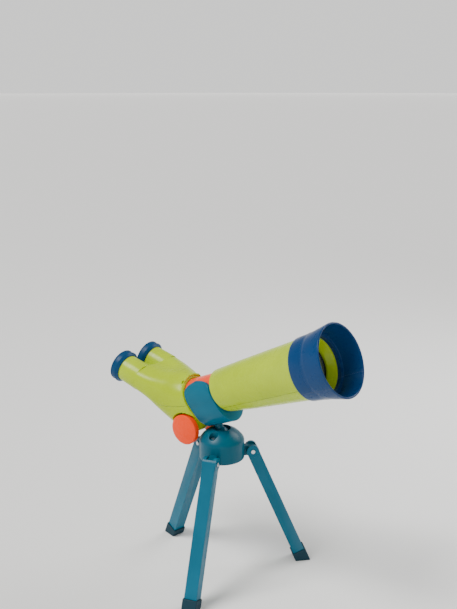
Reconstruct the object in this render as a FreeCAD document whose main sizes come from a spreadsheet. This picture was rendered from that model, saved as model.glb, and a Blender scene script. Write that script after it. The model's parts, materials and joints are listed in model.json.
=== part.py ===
import FreeCAD, Part
import Sketcher
import math
import os
import re
from FreeCAD import Placement, Rotation, Vector

# A toy telescope for two eyes on a small table tripod. Millimetres.
# Row frame: +Z up, +Y the way the telescope looks, +X its right-hand side, the floor at Z = 0.
# The telescope's own frame (scope frame) has its origin on the barrel's axis at the barrel's rear end,
# +Y along the barrel and +Z up, and is carried into the row frame by one placement.

os.makedirs("parts", exist_ok=True)
doc = FreeCAD.newDocument("telescope_on_tripod")

X_AXIS = Vector(1, 0, 0)
Y_AXIS = Vector(0, 1, 0)
Z_AXIS = Vector(0, 0, 1)

# ---------------------------------------------------------------- driving dimensions

SIZES = [
    # where the tripod's upright axis stands in the row frame
    ("axis_x", -10.63), ("axis_y", -14.654),
    # tripod
    ("leg_length", 165), ("leg_spread", 23), ("leg_turn", 17), ("pivot_ring", 36),
    ("leg_width", 15), ("leg_depth", 14.6), ("leg_head", 7.6), ("leg_face", 1.3),
    ("lug_width", 8), ("lug_end", 5.8), ("side_gap", 0.2), ("leg_pin", 1.6), ("running_gap", 0.05),
    ("screw_head", 2.5), ("foot_wall", 1.4), ("foot_height", 17),
    ("dome_radius", 26.6), ("dome_crown", 31), ("dome_wall", 2.5), ("dome_shoulder", 7),
    ("dome_below_pivot", 6), ("ball_above_pivot", 22), ("crown_above_ball", 9.8), ("mouth_radius", 10.5),
    ("seat_radius", 11.8), ("seat_lip", 3.0), ("seat_floor", 11.6),
    ("recess_ring", 17.5), ("recess_turn", 4.4), ("recess_radius", 5.2), ("recess_floor", 0.8),
    # ball under the saddle, in the scope frame
    ("pitch", 24), ("ball_radius", 9), ("stem_radius", 4.8), ("ball_y", -23), ("ball_drop", 49.6),
    # neck and saddle
    ("neck_radius", 22.5), ("neck_bore", 20.25), ("neck_slant", 8), ("neck_centre", -16.75),
    ("groove_width", 41.5), ("arm_radius", 25.7), ("arm_inside", 22.7), ("arm_width", 39.5),
    ("arm_top", 20), ("saddle_depth", 37.6),
    # barrel
    ("wall", 2.2), ("barrel_rear", 26), ("barrel_front", 33.6), ("barrel_length", 127), ("barrel_seam", -17),
    # front end
    ("collar_radius", 34.9), ("collar_length", 16.5), ("front_bore", 31.2),
    ("hood_root", 38.1), ("hood_rim", 40.9), ("hood_step", 3.4), ("hood_length", 43.6), ("hood_wall", 2.4),
    ("bezel_mouth", 30.2), ("bezel_throat", 24.6), ("lens_radius", 26), ("lens_curve", 95),
    # rear body
    ("bend", 39.5), ("cup_y", -123.6), ("cup_z", 65.4), ("eye_spacing", 46),
    ("tube_radius", 16.2), ("tube_seat", 37), ("tube_end", 42), ("spigot_radius", 14.2), ("cup_radius", 19.4), ("cup_length", 10.5),
    ("eye_lens_radius", 10), ("body_front", 27),
    # focusing
    ("knob_y", -53.8), ("knob_z", -30.5), ("knob_radius", 18), ("knob_inside", 18.8), ("knob_width", 9),
    ("well_depth", 19.4), ("shaft_radius", 2), ("pinion_pitch", 4), ("pinion_teeth", 8), ("pinion_width", 7),
    ("draw_radius", 20.2), ("draw_rear", 15.5), ("draw_bore", 13.4), ("draw_back", -62), ("draw_step", -30),
    ("draw_front", -6),
]

sheet = doc.addObject("Spreadsheet::Sheet", "sizes")
for row, (alias, value) in enumerate(SIZES, start=1):
    sheet.set(f"A{row}", alias)
    sheet.set(f"B{row}", str(value))
    sheet.setAlias(f"B{row}", alias)
doc.recompute()
ALIASES = {alias for alias, _ in SIZES}
size = {alias: float(sheet.get(alias)) for alias in ALIASES}


def linked(expression):
    """An expression in the sheet's aliases, as FreeCAD's expression engine reads it."""
    return re.sub(r"[a-z_]+", lambda m: "sizes." + m.group() if m.group() in ALIASES else m.group(), expression)


def value_of(expression):
    """The same expression's value, for a shape that is made without a bound property."""
    doc_value = sheet.evalExpression(linked(expression))
    return float(doc_value)


# ---------------------------------------------------------------- helpers that make bound objects

def primitive(kind, name, place=Placement(), **properties):
    obj = doc.addObject("Part::" + kind, name)
    for prop, expression in properties.items():
        obj.setExpression(prop, linked(expression))
    obj.Placement = place
    return obj


def along(axis, base=Vector(0, 0, 0)):
    """A placement whose Z axis runs along axis from base."""
    return Placement(base, Rotation(Z_AXIS, axis))


def rod(name, radius, length, axis=Z_AXIS, base=Vector(0, 0, 0)):
    return primitive("Cylinder", name, along(axis, base), Radius=radius, Height=length)


def block(name, corner, dx, dy, dz, turn=Rotation()):
    return primitive("Box", name, Placement(corner, turn), Length=dx, Width=dy, Height=dz)


def joined(name, *pieces):
    fuse = doc.addObject("Part::MultiFuse", name)
    fuse.Shapes = list(pieces)
    return fuse


def shared(name, *pieces):
    common = doc.addObject("Part::MultiCommon", name)
    common.Shapes = list(pieces)
    return common


def cut(name, base, *tools):
    """base with every tool taken away, one after the other."""
    for number, tool in enumerate(tools, start=1):
        result = doc.addObject("Part::Cut", name if number == len(tools) else f"{name}_step_{number}")
        result.Base = base
        result.Tool = tool
        base = result
    return base


def raw(name, shape):
    """A shape made with Part's own functions from the sheet's sizes."""
    feature = doc.addObject("Part::Feature", name)
    feature.Shape = shape
    return feature


def is_circle(edge, radius):
    return not edge.Degenerated and isinstance(edge.Curve, Part.Circle) and abs(edge.Curve.Radius - radius) < 0.001


def turned(name, outline, rounded=()):
    """A PartDesign body turned about its Y axis. outline: (radius, height) expressions, corner by corner.
    rounded: (corner number, fillet radius) pairs."""
    body = doc.addObject("PartDesign::Body", name)
    plane = next(f for f in body.Origin.OriginFeatures if f.Role == "XY_Plane")
    sketch = body.newObject("Sketcher::SketchObject", name + "_outline")
    sketch.AttachmentSupport = [(plane, "")]
    sketch.MapMode = "FlatFace"
    corners = [Vector(value_of(r), value_of(y), 0) for r, y in outline]
    count = len(corners)
    for i in range(count):
        sketch.addGeometry(Part.LineSegment(corners[i], corners[(i + 1) % count]), False)
    for i in range(count):
        sketch.addConstraint(Sketcher.Constraint("Coincident", i, 2, (i + 1) % count, 1))
    for i, (r, y) in enumerate(outline):
        for kind, expression, length in (("DistanceX", r, corners[i].x), ("DistanceY", y, corners[i].y)):
            index = sketch.addConstraint(Sketcher.Constraint(kind, -1, 1, i, 1, length))
            sketch.setExpression(f"Constraints[{index}]", linked(expression))
    turn = body.newObject("PartDesign::Revolution", name + "_turn")
    turn.Profile = sketch
    turn.ReferenceAxis = (sketch, ["V_Axis"])
    turn.Angle = 360
    sketch.Visibility = False
    body.Tip = turn
    doc.recompute()
    for number, radius in rounded:
        corner, base = corners[number], body.Tip
        edges = [
            f"Edge{k}" for k, edge in enumerate(base.Shape.Edges, start=1)
            if is_circle(edge, corner.x) and abs(edge.Curve.Center.y - corner.y) < 0.001
        ]
        fillet = body.newObject("PartDesign::Fillet", f"{name}_round_{number}")
        fillet.Base = (base, edges)
        fillet.Radius = radius
        body.Tip = fillet
        doc.recompute()
    return body


subparts = []


def subpart(label, obj, place=None):
    """Registers obj as the sub-part called label, standing at place."""
    obj.Label = label
    if place is not None:
        obj.Placement = place
    subparts.append(obj)
    return obj


# ---------------------------------------------------------------- the frames

PIVOT_HEIGHT = size["leg_length"] * math.cos(math.radians(size["leg_spread"]))
BALL_HEIGHT = PIVOT_HEIGHT + size["ball_above_pivot"]
STAND = Placement(Vector(size["axis_x"], size["axis_y"], 0), Rotation())
UPRIGHT = Rotation(X_AXIS, 90)          # a turned body's Y axis to Z
BALL = Placement(Vector(size["axis_x"], size["axis_y"], BALL_HEIGHT), Rotation())
SCOPE = (
    BALL
    * Placement(Vector(0, 0, 0), Rotation(X_AXIS, size["pitch"]))
    * Placement(Vector(0, -size["ball_y"], size["ball_drop"]), Rotation())
)
EYE_AXIS = Vector(0, -math.cos(math.radians(size["bend"])), math.sin(math.radians(size["bend"])))


def at_eye(side):
    """The eye tube's frame: origin at the cup's rim, +Y outwards to the eye. side is -1 left, +1 right."""
    base = Vector(side * size["eye_spacing"] / 2, size["cup_y"], size["cup_z"])
    return SCOPE * Placement(base, Rotation(Y_AXIS, EYE_AXIS))


def at_knob(side):
    """The focus shaft's frame, +Y outwards on that side."""
    return SCOPE * Placement(Vector(0, size["knob_y"], size["knob_z"]), Rotation(Z_AXIS, -90 * side))


# ---------------------------------------------------------------- the barrel

def slanted_slab(name, front_y, thickness):
    """A thick slab across the neck whose front face leans forward at the bottom by neck_slant."""
    reach = 160
    turn = Rotation(X_AXIS, size["neck_slant"])
    corner = Vector(0, front_y, 0) + turn.multVec(Vector(-reach / 2, -thickness, -reach / 2))
    return block(name, corner, str(reach), str(thickness), str(reach), turn)


NECK_HALF = size["groove_width"] / 2
BARREL_START = size["neck_centre"] + NECK_HALF
BODY_START = size["neck_centre"] - NECK_HALF
BARREL_RUN = 20                         # how far the frustum is carried back before its end is cut


def barrel_frustum(name, inset):
    """The barrel's outer frustum, or its hollow when inset is the wall."""
    slope = f"((barrel_front - barrel_rear) / barrel_length * {BARREL_RUN})"
    return primitive(
        "Cone", name, along(Y_AXIS, Vector(0, -BARREL_RUN, 0)),
        Radius1=f"barrel_rear - {slope} - {inset}", Radius2=f"barrel_front - {inset}",
        Height=f"barrel_length + {BARREL_RUN}",
    )


def rounded_back_rim(name, shell, radius):
    """Rounds the outer rim at the barrel's rear: the longest of the curved edges there."""
    doc.recompute()
    rims = [
        (edge.Length, k) for k, edge in enumerate(shell.Shape.Edges, start=1)
        if not edge.Degenerated and isinstance(edge.Curve, Part.Ellipse) and edge.BoundBox.YMax < BARREL_START + 8
    ]
    fillet = doc.addObject("Part::Fillet", name)
    fillet.Base = shell
    fillet.Edges = [(max(rims)[1], radius, radius)]
    return fillet


def barrel():
    skin = cut("barrel_skin", barrel_frustum("barrel_outside", "0"), slanted_slab("barrel_back_cut", BARREL_START, 80))
    hollow = cut(
        "barrel_hollow", barrel_frustum("barrel_inside", "wall"),
        slanted_slab("barrel_hollow_cut", BARREL_START + size["wall"], 80),
    )
    bore = rod("barrel_neck_hole", "neck_radius", "60", Y_AXIS, Vector(0, -20, 0))
    shell = cut("barrel_shell", skin, hollow, bore)
    below = block("below_seam", Vector(-60, -30, size["barrel_seam"] - 60), "120", "200", "60")
    upper = rounded_back_rim("barrel_upper_rounded", cut("barrel_upper", shell, below), 1.6)
    lower = rounded_back_rim("barrel_lower_rounded", shared("barrel_lower", shell, below), 1.6)
    subpart("barrel_upper_shell", upper, SCOPE)
    subpart("barrel_lower_shell", lower, SCOPE)


barrel()

# ---------------------------------------------------------------- the front end

FRONT = "barrel_length"
subpart("objective_collar", turned("collar", [
    ("front_bore", FRONT), ("collar_radius", FRONT),
    ("collar_radius + 0.5", FRONT + " + collar_length"), ("front_bore", FRONT + " + collar_length"),
], rounded=[(1, 0.8)]), SCOPE)

HOOD = FRONT + " + collar_length"
subpart("objective_hood", turned("hood", [
    ("front_bore", HOOD), ("collar_radius + 0.9", HOOD), ("hood_root", HOOD + " + hood_step"),
    ("hood_rim", FRONT + " + hood_length"), ("hood_rim - hood_wall", FRONT + " + hood_length"),
    ("hood_root - hood_wall - 0.3", HOOD + " + 3"), ("front_bore", HOOD + " + 3"),
], rounded=[(2, 2.0), (3, 1.1), (4, 0.9)]), SCOPE)

subpart("lens_bezel", turned("bezel", [
    ("front_bore - 0.1", FRONT + " + 9"), ("front_bore - 0.1", FRONT + " + 14.5"),
    ("bezel_mouth", FRONT + " + 14.5"), ("bezel_throat", FRONT + " + 7"), ("bezel_throat", FRONT + " + 5.4"),
    ("bezel_throat + 3", FRONT + " + 5.4"),
]), SCOPE)

LENS_MIDDLE = FRONT + " + 2"
subpart("lens_cell", turned("cell", [
    ("lens_radius + 0.1", FRONT + " - 5"), ("front_bore - 1.4", FRONT + " - 5"),
    ("front_bore - 0.3", FRONT + " + 5.2"), ("lens_radius + 0.1", FRONT + " + 5.2"),
]), SCOPE)


def lens(name, radius, curve, middle, edge):
    """A biconvex lens about the Y axis: two balls of radius curve, trimmed to a disc of that radius."""
    reach = value_of(f"sqrt({curve} * {curve} - {radius} * {radius})")
    front = primitive("Sphere", name + "_front", Placement(Vector(0, middle - reach + edge, 0), Rotation()), Radius=curve)
    back = primitive("Sphere", name + "_back", Placement(Vector(0, middle + reach - edge, 0), Rotation()), Radius=curve)
    disc = rod(name + "_disc", radius, "30", Y_AXIS, Vector(0, middle - 15, 0))
    return shared(name, front, back, disc)


subpart("objective_lens", lens("front_lens", "lens_radius", "lens_curve", value_of(LENS_MIDDLE), 1.0), SCOPE)

# ---------------------------------------------------------------- neck band and saddle

INTO_BARREL, INTO_BODY = 8, 3           # how far the band reaches into its neighbours
neck_tube = turned("neck_tube", [
    ("neck_bore", f"neck_centre - groove_width / 2 - {INTO_BODY}"),
    ("neck_radius", f"neck_centre - groove_width / 2 - {INTO_BODY}"),
    ("neck_radius", f"neck_centre + groove_width / 2 + {INTO_BARREL}"),
    ("neck_bore", f"neck_centre + groove_width / 2 + {INTO_BARREL}"),
])
subpart("neck_band", neck_tube, SCOPE)


def saddle():
    """A U of two arms round the neck band, deepening to a keel under it where the stem is fixed."""
    radius, depth, top = size["arm_radius"], size["saddle_depth"], size["arm_top"]
    side = math.sqrt(radius ** 2 - top ** 2)
    centre, east, south = Vector(0, -60, 0), Vector(1, 0, 0), Vector(0, 0, -1)
    right_top, left_top = Vector(side, -60, top), Vector(-side, -60, top)
    arc = Part.Arc(right_top, centre + east * radius, Vector(radius * math.cos(0.3), -60, -radius * math.sin(0.3)))
    keel = Part.BSplineCurve()
    keel.interpolate(
        [arc.EndPoint, Vector(0.62 * radius, -60, -0.82 * depth), centre + south * depth,
         Vector(-0.62 * radius, -60, -0.82 * depth), Vector(-arc.EndPoint.x, -60, arc.EndPoint.z)],
        InitialTangent=Vector(-0.3, 0, -1), FinalTangent=Vector(-0.3, 0, 1),
    )
    other = Part.Arc(Vector(-arc.EndPoint.x, -60, arc.EndPoint.z), centre - east * radius, left_top)
    outline = Part.Wire([arc.toShape(), keel.toShape(), other.toShape(), Part.makeLine(left_top, right_top)])
    profile = raw("saddle_profile", Part.Face(outline).extrude(Vector(0, 120, 0)))

    # seen from the side: the arms stand between two slanted faces and end in a rounded tip
    half, tip = size["arm_width"] / 2, size["arm_top"]
    low = -60
    points = [Vector(0, -half, low), Vector(0, half, low), Vector(0, half, tip - 16), Vector(0, half - 16, tip)]
    points += [Vector(0, -half + 7, tip + 0.5), Vector(0, -half, tip - 7)]
    corner_front = Part.Arc(points[2], Vector(0, half - 4.7, tip - 4.7), points[3]).toShape()
    corner_back = Part.Arc(points[4], Vector(0, -half + 2, tip - 2), points[5]).toShape()
    edges = [
        Part.makeLine(points[0], points[1]), Part.makeLine(points[1], points[2]), corner_front,
        Part.makeLine(points[3], points[4]), corner_back, Part.makeLine(points[5], points[0]),
    ]
    side_view = raw("saddle_side", Part.Face(Part.Wire(edges)).extrude(Vector(80, 0, 0)))
    side_view.Placement = Placement(Vector(-40, size["neck_centre"], 0), Rotation(X_AXIS, size["neck_slant"]))
    bore = rod("saddle_bore", "arm_inside", "120", Y_AXIS, Vector(0, -70, 0))
    solid = cut("saddle_solid", shared("saddle_block", profile, side_view), bore)
    return solid


def on_stem(z):
    """A point of the stem's axis, z above the barrel's axis."""
    return Vector(0, size["ball_y"], z)


STEM_TOP, SCREW_SHELF = -30, -26.5      # the screw's head stands on a shelf above the stem's end
stem_hole = rod("saddle_stem_hole", "stem_radius", "10", -Z_AXIS, on_stem(STEM_TOP))
head_hole = rod("saddle_head_hole", "screw_head + 0.4", "8", Z_AXIS, on_stem(SCREW_SHELF))
screw_passage = rod("saddle_screw_hole", "1.6", "8", -Z_AXIS, on_stem(SCREW_SHELF + 2))
subpart("saddle", cut("saddle_cut", saddle(), stem_hole, head_hole, screw_passage), SCOPE)

ball = primitive("Sphere", "ball_sphere", Placement(on_stem(-size["ball_drop"]), Rotation()), Radius="ball_radius")
stem = rod("ball_neck", "stem_radius", f"ball_drop - {-STEM_TOP}", -Z_AXIS, on_stem(STEM_TOP))
screw_thread = rod("stem_screw_hole", "1.5", "11", -Z_AXIS, on_stem(STEM_TOP))
subpart("ball_stem", cut("ball_and_stem", joined("ball_fused", ball, stem), screw_thread), SCOPE)

stem_screw = turned("stem_screw", [
    ("0", "0 - 12"), ("1.5", "0 - 12"), ("1.5", "0"), ("screw_head", "0"), ("screw_head", "2"), ("0", "2"),
])
subpart("saddle_screw", stem_screw, SCOPE * Placement(on_stem(SCREW_SHELF), UPRIGHT))

# ---------------------------------------------------------------- rear body

def section(centre, across, up, half_width, height, depth, power, count=16):
    """A closed smooth wire: a rounded oblong, height above its centre and depth below it,
    fuller at its corners as power grows."""
    points = []
    for i in range(count):
        angle = 2 * math.pi * (i / count + 0.25)
        c, s = math.cos(angle), math.sin(angle)
        x = math.copysign(abs(c) ** (2 / power), c) * half_width
        y = math.copysign(abs(s) ** (2 / power), s) * (height if s > 0 else depth)
        points.append(centre + across * x + up * y)
    curve = Part.BSplineCurve()
    curve.interpolate(points, PeriodicFlag=True)
    return Part.Wire([curve.toShape()])


# Stations of the rear body from the eye tubes to the neck. The depth grows into the housing of the focus
# shaft and shrinks again to the neck.
# y, z of the middle, lean of the section, half width, height, depth, power
BODY_STATIONS = [
    (-95.0, 41.9, 39.5, 39.6, 16.9, 16.9, 3.0),
    (-81.0, 30.3, 38.0, 37.8, 18.2, 22.0, 2.7),
    (-67.0, 18.5, 30.0, 33.8, 21.3, 35.2, 2.3),
    (-54.5, 7.5, 16.0, 29.8, 24.6, 44.8, 2.1),
    (-44.0, 1.0, 5.0, 27.4, 26.6, 40.2, 2.0),
    (-36.0, 0.0, 0.0, 27.0, 27.0, 29.0, 2.0),
    (-28.0, 0.0, 0.0, 27.0, 27.0, 27.0, 2.0),
]


def body_loft(inset):
    """The rear body's outer form, or its hollow when inset is the wall: the end at the eye tubes moves in too."""
    wires = []
    for number, (y, z, lean, half_width, height, depth, power) in enumerate(BODY_STATIONS):
        angle = math.radians(lean)
        up = Vector(0, math.sin(angle), math.cos(angle))
        centre = Vector(0, y, z)
        if number == 0:
            centre += Vector(0, math.cos(angle), -math.sin(angle)) * inset
        wires.append(section(centre, X_AXIS, up, half_width - inset, height - inset, depth - inset, power))
    return Part.makeLoft(wires, True, False)


def knob_wells(radius, depth):
    """Two round pockets in the housing's sides, where the focus knobs sit."""
    return [
        Part.makeCylinder(radius, 40, Vector(side * depth, size["knob_y"], size["knob_z"]), X_AXIS * side)
        for side in (-1, 1)
    ]


def seam_region():
    """Everything under the seam between the two body shells."""
    arc = Part.Arc(Vector(-60, -97, 26.2), Vector(-60, -76.5, 6.4), Vector(-60, -45, -3.6))
    tail, nose = Vector(-60, -125, 58), Vector(-60, 10, -5)
    low_nose, low_tail = Vector(-60, 10, -90), Vector(-60, -125, -90)
    start, end = Vector(-60, -97, 26.2), Vector(-60, -45, -3.6)
    edges = [
        Part.makeLine(tail, start), arc.toShape(), Part.makeLine(end, nose), Part.makeLine(nose, low_nose),
        Part.makeLine(low_nose, low_tail), Part.makeLine(low_tail, tail),
    ]
    return Part.Face(Part.Wire(edges)).extrude(Vector(120, 0, 0))


def front_slab(front_y):
    """What lies in front of the body's slanted front rim."""
    turn = Rotation(X_AXIS, size["neck_slant"])
    slab = Part.makeBox(160, 80, 160)
    slab.Placement = Placement(Vector(0, front_y, 0) + turn.multVec(Vector(-80, 0, -80)), turn)
    return slab


def rear_body():
    """The two shells of the rear body, cut from one loft: solids made with Part's own functions, because
    the document's booleans don't hold on a closed loft."""
    wall = size["wall"]
    well = size["knob_inside"] + 0.4
    outside, hollow = body_loft(0).cut(front_slab(BODY_START)), body_loft(wall).cut(front_slab(BODY_START - wall))
    for pocket in knob_wells(well, size["well_depth"]):
        outside = outside.cut(pocket)
    for pocket in knob_wells(well + wall, size["well_depth"] - wall):
        hollow = hollow.cut(pocket)
    holes = [Part.makeCylinder(size["neck_radius"], 40, Vector(0, -50, 0), Y_AXIS)]
    for side in (-1, 1):
        rim = Vector(side * size["eye_spacing"] / 2, size["cup_y"], size["cup_z"])
        start = rim - EYE_AXIS * (size["tube_seat"] - 7)
        holes.append(Part.makeCylinder(size["spigot_radius"], 16, start, -EYE_AXIS))
    shaft_hole = Part.makeCylinder(
        size["shaft_radius"] + size["running_gap"], 80, Vector(-40, size["knob_y"], size["knob_z"]), X_AXIS)
    under = seam_region()
    halves = {"upper": outside.cut(under), "lower": outside.common(under).cut(shaft_hole)}
    for word, half in halves.items():
        shell = half.cut(hollow)
        for hole in holes:
            shell = shell.cut(hole)
        subpart(f"body_{word}_shell", raw(f"body_{word}", shell), SCOPE)


rear_body()

# ---------------------------------------------------------------- eye tubes and eyecups

SIDES = ((-1, "left"), (1, "right"))
TUBE_OUTER_END = "0 - cup_length + 4"
for side, word in SIDES:
    place = at_eye(side)
    subpart(f"eye_tube_{word}", turned(f"eye_tube_{word}_body", [
        ("spigot_radius - 1.4", "0 - tube_end"), ("spigot_radius", "0 - tube_end"),
        ("spigot_radius", "0 - tube_seat"), ("tube_radius", "0 - tube_seat"),
        ("tube_radius", "0 - cup_length"), ("tube_radius - 1.2", "0 - cup_length"),
        ("tube_radius - 1.2", TUBE_OUTER_END), ("tube_radius - wall", TUBE_OUTER_END),
        ("tube_radius - wall", "3 - tube_seat"), ("spigot_radius - 1.4", "0 - tube_seat"),
    ]), place)
    subpart(f"eyecup_{word}", turned(f"eyecup_{word}_body", [
        ("tube_radius - 1.2", "0 - cup_length"), ("tube_radius + 0.9", "0 - cup_length"),
        ("cup_radius - 1.6", "0 - cup_length + 3.4"), ("cup_radius", "0 - 2.4"), ("cup_radius", "0"),
        ("cup_radius - 2.4", "0"), ("cup_radius - 4.6", "0 - 5.4"), ("tube_radius - 1.2", "0 - 5.4"),
    ], rounded=[(3, 1.0), (4, 1.1), (5, 1.0)]), place)
    subpart(f"eyepiece_ring_{word}", turned(f"eyepiece_ring_{word}_body", [
        ("eye_lens_radius - 1", "0 - 13"), ("tube_radius - wall", "0 - 13"), ("tube_radius - wall", "0 - 6.6"),
        ("eye_lens_radius", "0 - 9.6"), ("eye_lens_radius", "0 - 11"), ("eye_lens_radius - 1", "0 - 11"),
    ]), place)
    subpart(f"eye_lens_{word}", lens(f"eye_glass_{word}", "eye_lens_radius - 0.1", "40", -15.4, 0.9), place)

# ---------------------------------------------------------------- focusing

PITCH_RADIUS = size["pinion_pitch"]
TOOTH_PITCH = 2 * math.pi * PITCH_RADIUS / size["pinion_teeth"]
TOOTH_ABOVE, TOOTH_BELOW = 0.75, 1.1    # the teeth's height over and under the pitch line
TIP_HALF, ROOT_HALF = 0.30, 0.80        # half a tooth's thickness: thin enough to run free


def polygon_prism(points, depth):
    return Part.Face(Part.makePolygon(points + points[:1])).extrude(depth)


def pinion():
    """A spur pinion with plain tapered teeth, one gap pointing straight up at rest."""
    half = size["pinion_width"] / 2
    low, high = PITCH_RADIUS - TOOTH_BELOW, PITCH_RADIUS + TOOTH_ABOVE
    points = []
    for n in range(int(size["pinion_teeth"])):
        middle = (n + 0.5) * TOOTH_PITCH / PITCH_RADIUS
        for radius, offset in ((low, -ROOT_HALF), (high, -TIP_HALF), (high, TIP_HALF), (low, ROOT_HALF)):
            angle = middle + offset / radius
            points.append(Vector(-half, radius * math.cos(angle), radius * math.sin(angle)))
    gear = raw("pinion_gear", polygon_prism(points, X_AXIS * size["pinion_width"]))
    bore = rod("pinion_bore", "shaft_radius", "20", X_AXIS, Vector(-10, 0, 0))
    subpart("focus_pinion", cut("pinion_cut", gear, bore), SCOPE * Placement(
        Vector(0, size["knob_y"], size["knob_z"]), Rotation()))


pinion()


def rack_points(x):
    """The rack's side view at x, teeth down, one tooth in the pinion's upper gap at rest."""
    pitch_line = size["knob_z"] + PITCH_RADIUS
    top, root, tip = -14.4, pitch_line + TOOTH_BELOW, pitch_line - TOOTH_ABOVE
    teeth = [size["knob_y"] + TOOTH_PITCH * n for n in range(-2, 3)]
    start, end = teeth[0] - TOOTH_PITCH / 2, teeth[-1] + TOOTH_PITCH / 2
    points = [Vector(x, start, top), Vector(x, start, root)]
    for y in teeth:
        for z, offset in ((root, -ROOT_HALF), (tip, -TIP_HALF), (tip, TIP_HALF), (root, ROOT_HALF)):
            points.append(Vector(x, y + offset, z))
    return points + [Vector(x, end, root), Vector(x, end, top)]


def draw_tube():
    tube = turned("draw_tube_body", [
        ("draw_bore", "draw_back"), ("draw_rear", "draw_back"), ("draw_rear", "draw_step"),
        ("draw_radius", "draw_step"), ("draw_radius", "draw_front"), ("draw_bore", "draw_front"),
    ])
    half = size["pinion_width"] / 2 - 0.4
    rack = raw("rack_bar", polygon_prism(rack_points(-half), Vector(2 * half, 0, 0)))
    subpart("draw_tube", joined("draw_tube_and_rack", tube, rack), SCOPE)


draw_tube()
subpart("relay_lens", lens("relay_glass", "draw_bore", "45", -20, 1.2), SCOPE)

shaft = rod("shaft_rod", "shaft_radius", "2 * (well_depth + knob_width - 1.5)", X_AXIS, Vector(
    -(size["well_depth"] + size["knob_width"] - 1.5), 0, 0))
subpart("focus_shaft", shaft, SCOPE * Placement(
    Vector(0, size["knob_y"], size["knob_z"]), Rotation()) * shaft.Placement)
for side, word in SIDES:
    subpart(f"focus_knob_{word}", turned(f"focus_knob_{word}_body", [
        ("shaft_radius", "well_depth + 0.4"), ("knob_radius - 0.8", "well_depth + 0.4"),
        ("knob_radius", "well_depth + 1.4"), ("knob_radius", "well_depth + knob_width - 1.2"),
        ("knob_radius - 5", "well_depth + knob_width + 0.6"), ("0", "well_depth + knob_width + 1.1"),
        ("0", "well_depth + knob_width - 1.5"), ("shaft_radius", "well_depth + knob_width - 1.5"),
    ], rounded=[(3, 1.6), (4, 6)]), at_knob(side))

# ---------------------------------------------------------------- optics in the rear body

PRISM_LEAN = Rotation(X_AXIS, -size["bend"])


def prism(label, x, y, z, width, depth, height):
    """A block of glass leaning with the eye tubes, centred on x, y, z, with one long edge cut away."""
    whole = block(label + "_block", Vector(-width / 2, -depth / 2, -height / 2), str(width), str(depth), str(height))
    slope = block(
        label + "_slope", Vector(-width / 2 - 1, -depth / 2, height / 2 - depth * 0.35), str(width + 2),
        str(depth), str(height), Rotation(X_AXIS, 30),
    )
    return subpart(label, cut(label + "_cut", whole, slope), SCOPE * Placement(Vector(x, y, z), PRISM_LEAN))


PRISM_ROW = Vector(0, -84.5, 32.2)      # the middle of the row of three under the eye tubes
prism("bend_prism", 0, -78.5, 14, 20, 15, 16)
prism("beam_splitter", 0, PRISM_ROW.y, PRISM_ROW.z, 15, 15, 15)
prism("side_prism_left", -20, PRISM_ROW.y, PRISM_ROW.z, 16, 15, 15)
prism("side_prism_right", 20, PRISM_ROW.y, PRISM_ROW.z, 16, 15, 15)

tray = block("tray_plate", Vector(-32, -7.5, -9.3), "64", "15", "1.8")
subpart("prism_tray", tray, SCOPE * Placement(PRISM_ROW, PRISM_LEAN) * tray.Placement)

# ---------------------------------------------------------------- tripod head

def domed(name, crown, radius, top_z, foot_z, corner):
    """A round head: the top of a ball, trimmed to a cylinder, with a softened shoulder."""
    cap = primitive("Sphere", name + "_cap", Placement(Vector(0, 0, top_z - value_of(crown)), Rotation()), Radius=crown)
    tube = rod(name + "_tube", radius, str(top_z - foot_z), Z_AXIS, Vector(0, 0, foot_z))
    solid = shared(name + "_whole", cap, tube)
    doc.recompute()
    reach = value_of(radius)
    shoulder = [
        (k, corner, corner) for k, edge in enumerate(solid.Shape.Edges, start=1)
        if is_circle(edge, reach) and edge.Curve.Center.z > foot_z + 8
    ]
    fillet = doc.addObject("Part::Fillet", name)
    fillet.Base = solid
    fillet.Edges = shoulder
    return fillet


LEG_NAMES = ("right", "left", "rear")
LEG_TURNS = [size["leg_turn"] + 120 * n for n in range(3)]
DOME_FOOT = PIVOT_HEIGHT - size["dome_below_pivot"]
DOME_TOP = BALL_HEIGHT + size["crown_above_ball"]


def around(radius, turn, z):
    angle = math.radians(turn)
    return Vector(radius * math.cos(angle), radius * math.sin(angle), z)


def lug(number, turn):
    """A tongue that reaches out of the head into one leg's fork."""
    tongue = block(f"lug_{number}_bar", Vector(15, -size["lug_width"] / 2, -size["lug_end"]),
                   "pivot_ring - 15", "lug_width", "2 * lug_end")
    end = rod(f"lug_{number}_end", "lug_end", "lug_width", Y_AXIS,
              Vector(size["pivot_ring"], -size["lug_width"] / 2, 0))
    whole = joined(f"lug_{number}", tongue, end)
    whole.Placement = Placement(Vector(0, 0, PIVOT_HEIGHT), Rotation(Z_AXIS, turn))
    return whole


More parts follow.
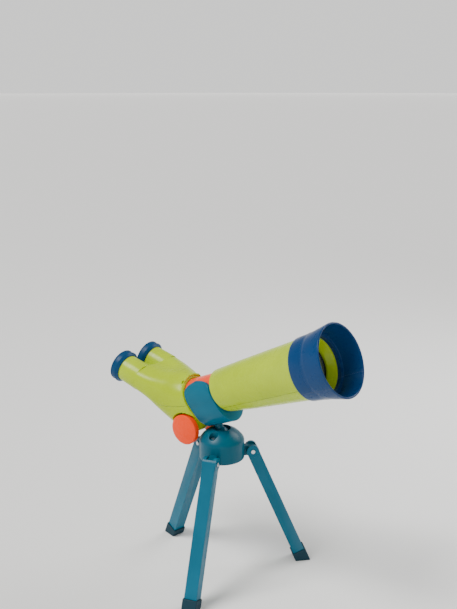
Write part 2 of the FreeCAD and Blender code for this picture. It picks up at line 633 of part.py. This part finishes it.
def head_dome():
    outer = domed("dome_outer", "dome_crown", "dome_radius", DOME_TOP, DOME_FOOT, size["dome_shoulder"])
    wall = size["dome_wall"]
    inner = domed("dome_inner", f"dome_crown - {wall}", f"dome_radius - {wall}", DOME_TOP - wall, DOME_FOOT - 1, 5)
    lugs = [lug(n, turn) for n, turn in enumerate(LEG_TURNS)]
    socket_low = BALL_HEIGHT - size["seat_floor"] - 1
    socket = rod("socket", "seat_radius + 1.8", str(DOME_TOP - 2 - socket_low), Z_AXIS, Vector(0, 0, socket_low))
    bosses = [
        rod(f"boss_{n}", "recess_radius + 1.6", "14", Z_AXIS,
            around(size["recess_ring"], size["recess_turn"] + 180 * n, BALL_HEIGHT - size["recess_floor"] - 6))
        for n in range(2)
    ]
    hollow = cut("dome_hollow", inner, socket, *bosses)
    shell = cut("dome_shell", joined("dome_with_lugs", outer, *lugs), hollow)
    tools = [
        rod("dome_mouth", "mouth_radius", "30", Z_AXIS, Vector(0, 0, BALL_HEIGHT)),
        rod("seat_bore", "seat_radius + running_gap", str(size["seat_floor"] + size["seat_lip"] + 1.2), Z_AXIS,
            Vector(0, 0, socket_low)),
    ]
    for n in range(2):
        turn = size["recess_turn"] + 180 * n
        floor = BALL_HEIGHT - size["recess_floor"]
        tools.append(rod(f"recess_{n}", "recess_radius", "20", Z_AXIS, around(size["recess_ring"], turn, floor)))
        tools.append(rod(f"recess_hole_{n}", "1.5", "30", Z_AXIS, around(size["recess_ring"], turn, floor - 12)))
    for n, turn in enumerate(LEG_TURNS):
        hole = rod(f"lug_hole_{n}", "leg_pin", "30", Y_AXIS)
        hole.Placement = (
            Placement(Vector(0, 0, PIVOT_HEIGHT), Rotation(Z_AXIS, turn))
            * Placement(Vector(size["pivot_ring"], -15, 0), hole.Placement.Rotation)
        )
        tools.append(hole)
    subpart("head_dome", cut("dome_cut", shell, *tools), STAND)


head_dome()

plate = rod("plate_disc", "dome_radius - dome_wall - 0.1", "2", Z_AXIS, Vector(0, 0, DOME_FOOT + 0.5))
subpart("base_plate", plate, STAND * plate.Placement)

seat_body = rod("seat_body", "seat_radius", "seat_floor + seat_lip", Z_AXIS, Vector(0, 0, -size["seat_floor"]))
seat_hollow = primitive("Sphere", "seat_hollow", Radius="ball_radius + running_gap")
seat_mouth = rod("seat_mouth", "ball_radius - 0.55", "20", Z_AXIS, Vector(0, 0, size["seat_lip"] - 1.2))
subpart("ball_seat", cut("seat_cut", seat_body, seat_hollow, seat_mouth), BALL)

washer = turned("washer_body", [
    ("5.5", "0"), ("10.5", "1.6"), ("10.5", "2.4"), ("5.5", "0.8"),
])
subpart("spring_washer", washer, BALL * Placement(Vector(0, 0, -size["seat_floor"] - 2.5), UPRIGHT))

# ---------------------------------------------------------------- legs

def leg_frame(turn):
    """A leg's frame at rest: origin at its pivot, -Z down the leg, +X outwards."""
    return (
        STAND * Placement(Vector(0, 0, 0), Rotation(Z_AXIS, turn))
        * Placement(Vector(size["pivot_ring"], 0, PIVOT_HEIGHT), Rotation(Y_AXIS, -size["leg_spread"]))
    )


def leg(word, turn):
    half = size["leg_depth"] / 2
    head = rod(f"leg_{word}_head", "leg_head", "leg_width + 1.6", Y_AXIS, Vector(0, -size["leg_width"] / 2 - 0.8, 0))
    bar = block(f"leg_{word}_bar", Vector(-half, -size["leg_width"] / 2, -size["leg_length"] + 5),
                "leg_depth", "leg_width", "leg_length - 5")
    fork = block(f"leg_{word}_slot", Vector(-30, -size["lug_width"] / 2 - size["side_gap"], -14),
                 "30 + leg_head - leg_face", "lug_width + 2 * side_gap", "40")
    pin = rod(f"leg_{word}_hole", "leg_pin + running_gap", "40", Y_AXIS, Vector(0, -20, 0))
    subpart(f"leg_{word}", cut(f"leg_{word}_cut", joined(f"leg_{word}_solid", head, bar), fork, pin), leg_frame(turn))


def foot(word, turn):
    """A soft boot on the leg's end, flat where it stands on the floor."""
    wall, half, width = size["foot_wall"], size["leg_depth"] / 2, size["leg_width"] / 2
    low = -size["leg_length"] - 8
    boot = block(f"foot_{word}_boot", Vector(-half - wall, -width - wall, low),
                 "leg_depth + 2 * foot_wall", "leg_width + 2 * foot_wall", "foot_height + 5")
    frame = leg_frame(turn)
    to_leg = frame.inverse()
    floor = block(f"foot_{word}_floor", Vector(-300, -300, -60), "600", "600", "60")
    floor.Placement = to_leg * floor.Placement
    leg_end = block(f"foot_{word}_pocket", Vector(-half, -width, -size["leg_length"] + 5), "leg_depth", "leg_width", "60")
    subpart(f"foot_{word}", cut(f"foot_{word}_cut", boot, floor, leg_end), frame)


def leg_screw(word, turn):
    reach = size["leg_width"] / 2 + 0.8 + 0.1
    pin = rod(f"leg_screw_{word}_pin", "leg_pin", str(2 * reach), Y_AXIS, Vector(0, -reach, 0))
    heads = [
        rod(f"leg_screw_{word}_head_{n}", "screw_head", "0.9", Y_AXIS * side, Vector(0, side * reach, 0))
        for n, side in enumerate((-1, 1))
    ]
    subpart(f"leg_screw_{word}", joined(f"leg_screw_{word}_solid", pin, *heads), leg_frame(turn))


for word, turn in zip(LEG_NAMES, LEG_TURNS):
    leg(word, turn)
    foot(word, turn)
    leg_screw(word, turn)


def head_screws():
    screws = []
    for n in range(2):
        place = around(size["recess_ring"], size["recess_turn"] + 180 * n, BALL_HEIGHT - size["recess_floor"])
        shank = rod(f"head_screw_{n}_shank", "1.5", "9", -Z_AXIS, place)
        head = rod(f"head_screw_{n}_head", "screw_head", "1.8", Z_AXIS, place)
        slot = block(f"head_screw_{n}_slot", place + Vector(-4, -0.35, 1), "8", "0.7", "2")
        screws.append(cut(f"head_screw_{n}", joined(f"head_screw_{n}_solid", shank, head), slot))
    group = doc.addObject("Part::Compound", "head_screw_pair")
    group.Links = screws
    subpart("head_screws", group, STAND)


head_screws()

# ---------------------------------------------------------------- checks and export

doc.recompute()
for obj in doc.Objects:
    bad = {"Invalid", "Error"} & set(obj.State)
    if bad:
        raise RuntimeError(f"{obj.Name} failed: {obj.State}")
for obj in subparts:
    if obj.Shape.isNull() or not obj.Shape.isValid() or not obj.Shape.Solids:
        raise RuntimeError(f"{obj.Label} has no valid solid")
whole = FreeCAD.BoundBox()
for obj in subparts:
    whole.add(obj.Shape.BoundBox)
    obj.Shape.exportStep(f"parts/{obj.Label}.step")
print(len(subparts), "sub-parts; box", *(round(v, 2) for v in (
    whole.XMin, whole.XMax, whole.YMin, whole.YMax, whole.ZMin, whole.ZMax)))
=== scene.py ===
import json
import math

import bmesh
import bpy
from mathutils import Matrix, Vector


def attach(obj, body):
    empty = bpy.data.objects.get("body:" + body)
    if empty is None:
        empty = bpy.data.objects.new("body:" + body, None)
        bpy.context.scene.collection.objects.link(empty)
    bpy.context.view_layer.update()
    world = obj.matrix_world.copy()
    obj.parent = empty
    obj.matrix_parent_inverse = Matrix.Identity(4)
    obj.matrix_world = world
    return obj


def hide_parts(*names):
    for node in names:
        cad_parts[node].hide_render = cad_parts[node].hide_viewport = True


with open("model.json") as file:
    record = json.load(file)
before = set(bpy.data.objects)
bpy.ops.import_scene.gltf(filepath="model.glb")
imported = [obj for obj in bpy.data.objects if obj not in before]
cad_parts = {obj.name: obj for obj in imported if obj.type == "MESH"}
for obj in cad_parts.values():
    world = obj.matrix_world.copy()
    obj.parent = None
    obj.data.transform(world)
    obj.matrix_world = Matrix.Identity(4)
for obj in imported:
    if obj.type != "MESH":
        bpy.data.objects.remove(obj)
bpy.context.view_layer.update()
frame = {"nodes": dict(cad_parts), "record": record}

# The looks of a toy telescope for two eyes on a small tripod. Local sizes are in millimetres, in the
# telescope's own frame (scope frame): origin on the barrel's axis at its rear end, +Y along the barrel,
# +Z up. MM turns them into metres.

MM = 0.001
record = frame["record"]
joints = {joint["name"]: joint for joint in record["behaviour"]["joints"]}

# ------------------------------------------------------------------ frames

BALL_BACK, BALL_DROP = 23.0, 49.6       # the ball's place behind and under the scope frame's origin
BEND = math.radians(39.5)               # the eye tubes' bend away from the barrel
EYE_SPACING, CUP_Y, CUP_Z = 46.0, -123.6, 65.4
KNOB_Y, KNOB_Z, KNOB_WIDTH = -53.8, -30.5, 9.0

ball = Vector(joints["tilt"]["pos_m"])
barrel_way = Vector(joints["focus_slide"]["axis"])
pitch = math.atan2(barrel_way.z, barrel_way.y)
SCOPE = (
    Matrix.Translation(ball) @ Matrix.Rotation(pitch, 4, "X")
    @ Matrix.Translation(Vector((0, BALL_BACK, BALL_DROP)) * MM) @ Matrix.Scale(MM, 4)
)


def at_eye(side):
    """The eye tube's frame, +Y outwards to the eye, origin at the cup's rim."""
    rim = Vector((side * EYE_SPACING / 2, CUP_Y, CUP_Z))
    return SCOPE @ Matrix.Translation(rim) @ Matrix.Rotation(math.pi - BEND, 4, "X")


def at_knob(side):
    """The focus shaft's frame, +Y outwards on that side."""
    return SCOPE @ Matrix.Translation(Vector((0, KNOB_Y, KNOB_Z))) @ Matrix.Rotation(-side * math.pi / 2, 4, "Z")


# ------------------------------------------------------------------ camera, light and floor

FLOOR_SIZE, HAZE_RADIUS = 90, 44        # metres

def look_from_the_photo():
    """The camera stands to the front right of the telescope, a little above it, and is held level."""
    turn, rise = math.radians(37.27), math.radians(15)
    back = Vector((math.cos(rise) * math.cos(turn), math.cos(rise) * math.sin(turn), math.sin(rise)))
    right = Vector((-math.sin(turn), math.cos(turn), 0))
    up = back.cross(right)
    data = bpy.data.cameras.new("camera")
    data.lens = 49.2
    camera = bpy.data.objects.new("camera", data)
    camera.location = SCOPE.translation + (back * 967 + right * 7.1 + up * 99.9) * MM
    camera.rotation_euler = back.to_track_quat("Z", "Y").to_euler()
    bpy.context.collection.objects.link(camera)
    bpy.context.scene.camera = camera


def soft_light(name, place, power, width, colour=(1, 1, 1)):
    data = bpy.data.lights.new(name, "AREA")
    data.energy, data.size, data.color = power, width, colour
    lamp = bpy.data.objects.new(name, data)
    lamp.location = place
    aim = Vector((0, 0, 0.2)) - Vector(place)
    lamp.rotation_euler = aim.to_track_quat("-Z", "Y").to_euler()
    bpy.context.collection.objects.link(lamp)


def studio():
    """A broad sun, two soft lamps and a pale floor that meets a glowing ring at the horizon."""
    sun = bpy.data.lights.new("window", "SUN")
    sun.energy, sun.angle, sun.color = 3.3, math.radians(28), (1, 0.985, 0.96)
    window = bpy.data.objects.new("window", sun)
    window.rotation_euler = Vector((0.62, -0.42, 1.15)).to_track_quat("Z", "Y").to_euler()
    bpy.context.collection.objects.link(window)
    soft_light("fill", (1.15, 0.95, 0.55), 2.5, 1.0, (0.93, 0.96, 1))
    soft_light("rim", (-0.9, 0.3, 0.9), 7, 0.6)
    world = bpy.data.worlds.new("room")
    world.use_nodes = True
    background = world.node_tree.nodes["Background"]
    background.inputs["Color"].default_value = (0.98, 0.98, 1, 1)
    background.inputs["Strength"].default_value = 0.40
    bpy.context.scene.world = world
    bpy.ops.mesh.primitive_plane_add(size=FLOOR_SIZE, location=(0, 0, 0))
    floor = bpy.context.object
    floor.name = "floor"
    paint = bpy.data.materials.new("floor_paint")
    paint.use_nodes = True
    shader = paint.node_tree.nodes["Principled BSDF"]
    shader.inputs["Base Color"].default_value = (0.86, 0.86, 0.85, 1)
    shader.inputs["Roughness"].default_value = 0.8
    shader.inputs["Specular IOR Level"].default_value = 0.2
    floor.data.materials.append(paint)
    bpy.ops.mesh.primitive_cylinder_add(
        vertices=128, radius=HAZE_RADIUS, depth=9, end_fill_type="NOTHING", location=(0, 0, 4.4))
    haze = bpy.context.object
    haze.name = "haze"
    glow = bpy.data.materials.new("haze_paint")
    glow.use_nodes = True
    shader = glow.node_tree.nodes["Principled BSDF"]
    shader.inputs["Base Color"].default_value = (0, 0, 0, 1)
    shader.inputs["Specular IOR Level"].default_value = 0
    shader.inputs["Emission Color"].default_value = (1, 1, 0.985, 1)
    shader.inputs["Emission Strength"].default_value = 1.06
    haze.data.materials.append(glow)


look_from_the_photo()
studio()

# ------------------------------------------------------------------ materials


def plastic(name, colour, roughness=0.36, coat=0.0, grain=0.10, wear=0.10, shine=0.2):
    """Moulded plastic: a fine cast grain, slightly cloudy colour and gloss, edges rubbed a little lighter."""
    made = bpy.data.materials.new(name)
    made.use_nodes = True
    tree = made.node_tree
    shader = tree.nodes["Principled BSDF"]
    shader.inputs["Coat Weight"].default_value = coat
    shader.inputs["Coat Roughness"].default_value = 0.22
    shader.inputs["IOR"].default_value = 1.49
    shader.inputs["Specular IOR Level"].default_value = shine
    place = tree.nodes.new("ShaderNodeTexCoord")

    def noise(scale, detail):
        node = tree.nodes.new("ShaderNodeTexNoise")
        node.inputs["Scale"].default_value = scale
        node.inputs["Detail"].default_value = detail
        tree.links.new(place.outputs["Object"], node.inputs["Vector"])
        return node

    def span(source, low, high):
        node = tree.nodes.new("ShaderNodeMapRange")
        node.inputs["From Min"].default_value = 0.3
        node.inputs["From Max"].default_value = 0.7
        node.inputs["To Min"].default_value = low
        node.inputs["To Max"].default_value = high
        tree.links.new(source, node.inputs["Value"])
        return node.outputs["Result"]

    cloud = noise(28, 3)
    deep = [channel * 0.90 for channel in colour]
    light = [min(1, channel * 1.06) for channel in colour]
    tone = tree.nodes.new("ShaderNodeMix")
    tone.data_type = "RGBA"
    tone.inputs["A"].default_value = (*deep, 1)
    tone.inputs["B"].default_value = (*light, 1)
    tree.links.new(span(cloud.outputs["Fac"], 0, 1), tone.inputs["Factor"])
    rubbed = tree.nodes.new("ShaderNodeMix")
    rubbed.data_type = "RGBA"
    rubbed.inputs["B"].default_value = (*[channel + (1 - channel) * 0.25 for channel in colour], 1)
    geometry = tree.nodes.new("ShaderNodeNewGeometry")
    edge = tree.nodes.new("ShaderNodeMapRange")
    edge.inputs["From Min"].default_value = 0.53
    edge.inputs["From Max"].default_value = 0.62
    edge.inputs["To Max"].default_value = wear
    tree.links.new(geometry.outputs["Pointiness"], edge.inputs["Value"])
    tree.links.new(edge.outputs["Result"], rubbed.inputs["Factor"])
    tree.links.new(tone.outputs["Result"], rubbed.inputs["A"])
    tree.links.new(rubbed.outputs["Result"], shader.inputs["Base Color"])
    tree.links.new(span(noise(160, 2).outputs["Fac"], roughness - 0.05, roughness + 0.06), shader.inputs["Roughness"])
    bump = tree.nodes.new("ShaderNodeBump")
    bump.inputs["Strength"].default_value = grain
    bump.inputs["Distance"].default_value = 0.0002
    tree.links.new(noise(2600, 2).outputs["Fac"], bump.inputs["Height"])
    tree.links.new(bump.outputs["Normal"], shader.inputs["Normal"])
    return made


def metal():
    """Zinc-plated steel, with a fine even grain."""
    made = plastic("steel_look", (0.62, 0.62, 0.64), roughness=0.30, grain=0.25, wear=0, shine=0.5)
    made.node_tree.nodes["Principled BSDF"].inputs["Metallic"].default_value = 1
    return made


def glass():
    """Coated lens glass over a dark inside."""
    made = plastic("glass_look", (0.55, 0.66, 0.74), roughness=0.08, coat=0.6, grain=0, wear=0, shine=0.5)
    shader = made.node_tree.nodes["Principled BSDF"]
    shader.inputs["Transmission Weight"].default_value = 0.92
    shader.inputs["IOR"].default_value = 1.52
    return made


LOOKS = {
    "lime_plastic": plastic("lime_look", (0.42, 0.57, 0.0), roughness=0.27, coat=0.10),
    "blue_plastic": plastic("blue_look", (0.0, 0.038, 0.135), roughness=0.3, coat=0.08),
    "navy_rubber": plastic("navy_look", (0.0, 0.048, 0.135), roughness=0.42, grain=0.2),
    "orange_plastic": plastic("orange_look", (1.0, 0.055, 0.0), roughness=0.27, coat=0.08),
    "teal_plastic": plastic("teal_look", (0.0, 0.115, 0.19), roughness=0.34, coat=0.04),
    "dome_plastic": plastic("dome_look", (0.0, 0.085, 0.135), roughness=0.36, coat=0.04),
    "black_plastic": plastic("black_look", (0.018, 0.018, 0.020), roughness=0.5),
    "black_rubber": plastic("foot_look", (0.001, 0.03, 0.05), roughness=0.62, grain=0.3),
    "steel": metal(),
    "lens_glass": glass(),
}
SLOT_OF = {part["node"]: part["material_slot"] for part in record["subparts"]}

for node, shown in frame["nodes"].items():
    shown.data.materials.clear()
    shown.data.materials.append(LOOKS[SLOT_OF[node]])

# ------------------------------------------------------------------ mesh tools

SHARP = math.radians(34)


def finished(name, mesh, body, slot, *nodes):
    """Gives a new piece its shading, material, body and the CAD nodes it stands for."""
    made = bpy.data.objects.new(name, mesh)
    bpy.context.collection.objects.link(made)
    mesh.shade_smooth()
    mesh.set_sharp_from_angle(angle=SHARP)
    mesh.materials.append(LOOKS[slot])
    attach(made, body)
    if nodes:
        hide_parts(*nodes)
    return made


def mesh_from(name, points, faces, place):
    mesh = bpy.data.meshes.new(name)
    mesh.from_pydata([place @ Vector(p) for p in points], [], faces)
    build = bmesh.new()
    build.from_mesh(mesh)
    bmesh.ops.remove_doubles(build, verts=build.verts, dist=0.00001)
    bmesh.ops.recalc_face_normals(build, faces=build.faces)
    build.to_mesh(mesh)
    build.free()
    return mesh


def rounded(outline, steps=5):
    """A closed outline of (radius, height, corner radius) corners with its corners turned into arcs.

    Known fault: slerp returns vectors of length 1 and they aren't multiplied by radius, so every arc is drawn 1 mm from
    its centre and a corner is off by the difference."""
    points = []
    count = len(outline)
    for i, (x, y, radius) in enumerate(outline):
        corner = Vector((x, y))
        if radius <= 0:
            points.append(corner)
            continue
        before = Vector(outline[i - 1][:2]) - corner
        after = Vector(outline[(i + 1) % count][:2]) - corner
        angle = before.angle(after)
        reach = min(radius / math.tan(angle / 2), before.length * 0.48, after.length * 0.48)
        radius = reach * math.tan(angle / 2)
        middle = corner + (before.normalized() + after.normalized()).normalized() * (radius / math.sin(angle / 2))
        start = corner + before.normalized() * reach - middle
        end = corner + after.normalized() * reach - middle
        for step in range(steps + 1):
            points.append(middle + start.slerp(end, step / steps))
    return points


def lathe(name, outline, place, turns=96, seam=None, half="whole", slant=0.0, gap=0.16):
    """The outline turned about the Y axis. With a seam, only the half above or below the height -seam,
    with a hair's gap. slant leans the rear edge, backward at the top and forward at the bottom."""
    profile = rounded(outline)
    points, faces = [], []
    columns = turns if half == "whole" else turns // 2
    for column in range(columns + (half != "whole")):
        for point in profile:
            radius, height = point.x, point.y
            if half == "whole":
                angle = 2 * math.pi * column / columns
            else:
                cut = math.asin(min(1, seam / radius))
                low, high = -cut + gap / radius, math.pi + cut - gap / radius
                if half == "lower":
                    low, high = math.pi + cut + gap / radius, 2 * math.pi - cut - gap / radius
                angle = low + (high - low) * column / columns
            z = radius * math.sin(angle)
            lean = slant * max(0.0, 1 - (height - 4) / 40) if slant else 0
            points.append((radius * math.cos(angle), height - z * lean, z))
    size = len(profile)
    for column in range(columns):
        following = (column + 1) % columns if half == "whole" else column + 1
        for row in range(size):
            after = (row + 1) % size
            faces.append((column * size + row, column * size + after, following * size + after, following * size + row))
    if half != "whole":
        faces.append(tuple(range(size)))
        faces.append(tuple(columns * size + row for row in reversed(range(size))))
    return mesh_from(name, points, faces, place)


# ------------------------------------------------------------------ barrel and front end

FRONT = 127.0
BARREL_REAR, BARREL_FRONT, WALL = 26.0, 33.6, 2.2
START = 4.0                             # the barrel's rear rim on its axis
BARREL_WAIST = 44                       # where the rear rim's slant has run out
NECK_RADIUS = 22.55
HOOD_GAP = 0.06
SLANT = math.tan(math.radians(8))
BARREL_SEAM, HOOD_SEAM = 17.0, 21.0


def barrel_radius(y):
    return BARREL_REAR + (BARREL_FRONT - BARREL_REAR) * y / FRONT


def barrel():
    outline = [
        (NECK_RADIUS, START, 0), (barrel_radius(START), START, 1.7),
        (barrel_radius(BARREL_WAIST), BARREL_WAIST, 0), (BARREL_FRONT, FRONT, 0), (BARREL_FRONT - WALL, FRONT, 0),
        (barrel_radius(BARREL_WAIST) - WALL, BARREL_WAIST, 0),
        (barrel_radius(START) - WALL, START + WALL, 0), (NECK_RADIUS, START + WALL, 0),
    ]
    for half in ("upper", "lower"):
        name = f"barrel_{half}_skin"
        mesh = lathe(name, outline, SCOPE, seam=BARREL_SEAM, half=half, slant=SLANT)
        finished(name, mesh, "telescope", "lime_plastic", f"barrel_{half}_shell")


def front_end():
    collar = [
        (31.2, FRONT, 0), (34.9, FRONT, 0.8), (35.4, FRONT + 16.4, 0.3), (31.2, FRONT + 16.4, 0),
    ]
    step = FRONT + 16.5
    rim = FRONT + 43.6
    hood = [
        (31.2, step, 0), (35.9, step, 0.4), (38.1, step + 3.4, 2.4), (40.9, rim, 1.1), (38.5, rim, 1.0),
        (35.4, step + 3, 1.2), (31.2, step + 3, 0),
    ]
    for half in ("upper", "lower"):
        for part, outline in (("collar", collar), ("hood", hood)):
            mesh = lathe(part, outline, SCOPE, seam=HOOD_SEAM, half=half, gap=HOOD_GAP)
            finished(f"{part}_{half}_half", mesh, "telescope", "blue_plastic", f"objective_{part}")
    bezel = [
        (31.1, FRONT + 9, 0), (31.1, FRONT + 14.5, 0.2), (30.2, FRONT + 14.5, 0.4), (24.6, FRONT + 7, 0.5),
        (24.6, FRONT + 5.4, 0.3), (27.6, FRONT + 5.4, 0),
    ]
    finished("bezel_ring", lathe("bezel", bezel, SCOPE), "telescope", "lime_plastic", "lens_bezel")
    band = [(20.25, -40.5, 0), (22.5, -40.5, 0), (22.5, 12, 0), (20.25, 12, 0)]
    finished("neck_ring", lathe("neck", band, SCOPE), "telescope", "orange_plastic", "neck_band")


barrel()
front_end()

# ------------------------------------------------------------------ rear body

# y, z of the middle, lean of the section, half width, height, depth, fullness, dip between the eye tubes
STATIONS = [
    (-95.0, 41.9, 39.5, 39.4, 16.8, 16.8, 3.0, 2.9),
    (-81.0, 30.3, 38.0, 37.6, 18.1, 21.8, 2.7, 2.0),
    (-67.0, 18.5, 30.0, 33.7, 21.2, 35.0, 2.3, 0.7),
    (-54.5, 7.5, 16.0, 29.8, 24.6, 44.6, 2.1, 0.0),
    (-44.0, 1.0, 5.0, 27.4, 26.6, 40.0, 2.0, 0.0),
    (-37.5, 0.0, 0.0, 27.0, 27.0, 29.6, 2.0, 0.0),
]
SEAM = [(-125.0, 58.0), (-97.0, 26.2), (-87.0, 14.6), (-76.5, 6.4), (-61.0, 0.2), (-45.0, -3.6), (0.0, -5.0)]
WELL_RADIUS, WELL_DEPTH = 19.9, 19.4    # the pockets that the focus knobs sit in
# the front rim, rounded over and closed down to the neck: share of the way in, millimetres forward
FRONT_RIM = [(0.10, 0.25), (0.28, 0.45), (0.55, 0.5), (0.97, 0.5)]


def blended(values, along):
    """Values at evenly spaced stations, joined by a smooth curve."""
    index = min(int(along), len(values) - 2)
    t = along - index
    a, b = values[max(index - 1, 0)], values[index]
    c, d = values[index + 1], values[min(index + 2, len(values) - 1)]
    return 0.5 * (2 * b + (c - a) * t + (2 * a - 5 * b + 4 * c - d) * t * t + (3 * b - a - 3 * c + d) * t ** 3)


def seam_height(y):
    for (y0, z0), (y1, z1) in zip(SEAM, SEAM[1:]):
        if y <= y1:
            return z0 + (z1 - z0) * (y - y0) / (y1 - y0)
    return SEAM[-1][1]


def body_point(along, angle):
    y, z, lean, half_width, height, depth, fullness, dip = (
        blended([station[k] for station in STATIONS], along) for k in range(8))
    c, s = math.cos(angle), math.sin(angle)
    x = math.copysign(abs(c) ** (2 / fullness), c) * half_width
    rise = math.copysign(abs(s) ** (2 / fullness), s) * (height if s > 0 else depth)
    rise -= math.copysign(dip, s) * (0.5 + 0.5 * math.cos(math.pi * min(1, abs(x) / 23)))
    lean = math.radians(lean)
    point = Vector((x, y + rise * math.sin(lean), z + rise * math.cos(lean)))
    end = max(0.0, along - (len(STATIONS) - 2))
    point.y -= point.z * SLANT * end
    return point


def seam_angle(along):
    """The angle on the right-hand side where the section crosses the seam."""
    low, high = -math.pi / 2, math.pi / 2
    for _ in range(36):
        middle = (low + high) / 2
        point = body_point(along, middle)
        if point.z < seam_height(point.y):
            low = middle
        else:
            high = middle
    return (low + high) / 2


def in_well(point):
    """Presses a point of the side into the flat-bottomed pocket round the focus knob."""
    away = math.hypot(point.y - KNOB_Y, point.z - KNOB_Z)
    reach = min(1, max(0, (WELL_RADIUS - away) / 0.9 + 0.5))
    if abs(point.x) > WELL_DEPTH and reach > 0:
        point.x = math.copysign(abs(point.x) + (WELL_DEPTH - abs(point.x)) * reach, point.x)
    return point


def rear_body():
    rows, columns = 120, 120
    last = len(STATIONS) - 1
    for half in ("upper", "lower"):
        points, faces = [], []
        for row in range(rows + 1):
            along = last * row / rows
            right = seam_angle(along)
            gap = 0.005
            low, high = right + gap, math.pi - right - gap
            if half == "lower":
                low, high = math.pi - right + gap, 2 * math.pi + right - gap
            for column in range(columns + 1):
                points.append(in_well(body_point(along, low + (high - low) * column / columns)))
        wide = columns + 1
        edge = points[-wide:]
        for inward, forward in FRONT_RIM:
            for point in edge:
                radius = math.hypot(point.x, point.z)
                shrink = (radius - inward * (radius - NECK_RADIUS)) / radius
                z = point.z * shrink
                points.append(Vector((point.x * shrink, point.y + (point.z - z) * SLANT + forward, z)))
        for row in range(rows + len(FRONT_RIM)):
            for column in range(columns):
                a = row * wide + column
                faces.append((a, a + 1, a + wide + 1, a + wide))
        faces.append(tuple(range(wide)))
        mesh = mesh_from(f"body_{half}", points, faces, SCOPE)
        skin = finished(f"body_{half}_skin", mesh, "telescope", "lime_plastic", f"body_{half}_shell")
        wall = skin.modifiers.new("wall", "SOLIDIFY")
        wall.thickness = 2 * MM
        wall.offset = -1


rear_body()

# ------------------------------------------------------------------ eye tubes, cups and knobs

for side, word in ((-1, "left"), (1, "right")):
    tube = [
        (14.0, -37.0, 0), (16.2, -37.0, 0.5), (16.2, -10.5, 0), (15.0, -10.5, 0), (15.0, -6.5, 0), (14.0, -6.5, 0),
    ]
    finished(
        f"eye_tube_{word}_skin", lathe("tube", tube, at_eye(side)), "telescope", "lime_plastic", f"eye_tube_{word}")
    cup = [
        (15.0, -10.5, 0), (17.1, -10.5, 0.5), (17.8, -7.1, 3.0), (19.4, -2.2, 1.6), (19.4, 0, 1.0), (17.0, 0, 1.0),
        (14.8, -5.4, 1.0), (15.0, -6.2, 0),
    ]
    finished(f"eyecup_{word}_skin", lathe("cup", cup, at_eye(side)), "telescope", "navy_rubber", f"eyecup_{word}")
    face = WELL_DEPTH
    crown = [
        (17.4 - 0.87 * step, face + KNOB_WIDTH + 0.9 - 1.9 * (1 - step / 20) ** 2, 3.0 if step == 0 else 0)
        for step in range(21)
    ]
    knob = [
        (2.0, face + 0.8, 0), (17.0, face + 0.8, 0.6), (18.0, face + 1.8, 0.6),
        (18.0, face + KNOB_WIDTH - 1.9, 0.8),
    ]
    knob += crown[:-1] + [(0.01, crown[-1][1], 0), (0.01, face + 5.8, 0), (2.0, face + 5.8, 0)]
    finished(
        f"focus_knob_{word}_skin", lathe("knob", knob, at_knob(side)), "focus", "orange_plastic",
        f"focus_knob_{word}")

# ------------------------------------------------------------------ saddle

ARM_OUT, ARM_IN, KEEL = 25.7, 22.75, 37.6
ARM_END = math.radians(141)             # from straight down to the arm's tip
ARM_HALF = 19.75
NECK_MIDDLE = -16.75


def saddle():
    """A U round the neck: its section is a rounded strip that deepens to a keel and ends in round tips."""
    columns, corner = 160, 1.1
    points, faces = [], []
    for column in range(columns + 1):
        angle = -ARM_END + 2 * ARM_END * column / columns
        down = abs(angle)
        deep = max(0.0, math.cos(min(down / math.radians(74), 1) * math.pi / 2)) ** 1.7
        outer = ARM_OUT + (KEEL - ARM_OUT) * deep
        tip = max(0.0, (down - (ARM_END - math.radians(34))) / math.radians(34))
        half = ARM_HALF * math.sqrt(max(0.0004, 1 - tip ** 2.6))
        thick = corner if half > 2 * corner else half * 0.5
        section = rounded([(ARM_IN, -half, 0.2), (outer, -half, thick), (outer, half, thick), (ARM_IN, half, 0.2)], 4)
        ring = len(section)
        for p in section:
            x, z = p.x * math.sin(angle), -p.x * math.cos(angle)
            points.append((x, NECK_MIDDLE + p.y - z * SLANT, z))
    for column in range(columns):
        for k in range(ring):
            a, b = column * ring + k, column * ring + (k + 1) % ring
            faces.append((a, b, b + ring, a + ring))
    faces.append(tuple(range(ring)))
    faces.append(tuple(columns * ring + k for k in reversed(range(ring))))
    finished("saddle_skin", mesh_from("saddle", points, faces, SCOPE), "telescope", "teal_plastic", "saddle")


saddle()

# ------------------------------------------------------------------ tripod

BODY_OF = {node: body for body, nodes in record["behaviour"]["bodies"].items() for node in nodes}


def softened(node, width):
    """A copy of a CAD node's shape with its flats joined up and its edges rounded."""
    mesh = frame["nodes"][node].data.copy()
    build = bmesh.new()
    build.from_mesh(mesh)
    bmesh.ops.remove_doubles(build, verts=build.verts, dist=0.000004)
    bmesh.ops.dissolve_limit(build, angle_limit=math.radians(0.7), verts=build.verts, edges=build.edges)
    bmesh.ops.recalc_face_normals(build, faces=build.faces)
    build.to_mesh(mesh)
    build.free()
    mesh.materials.clear()
    made = finished(node + "_skin", mesh, BODY_OF[node], SLOT_OF[node], node)
    edge = made.modifiers.new("soft_edges", "BEVEL")
    edge.width = width * MM
    edge.segments = 3
    edge.limit_method = "ANGLE"
    edge.angle_limit = math.radians(38)
    edge.miter_outer = "MITER_ARC"
    return made


for word in ("right", "left", "rear"):
    softened(f"leg_{word}", 1.0)
    softened(f"foot_{word}", 1.2)
    softened(f"leg_screw_{word}", 0.3)
softened("head_dome", 0.5)
softened("head_screws", 0.25)
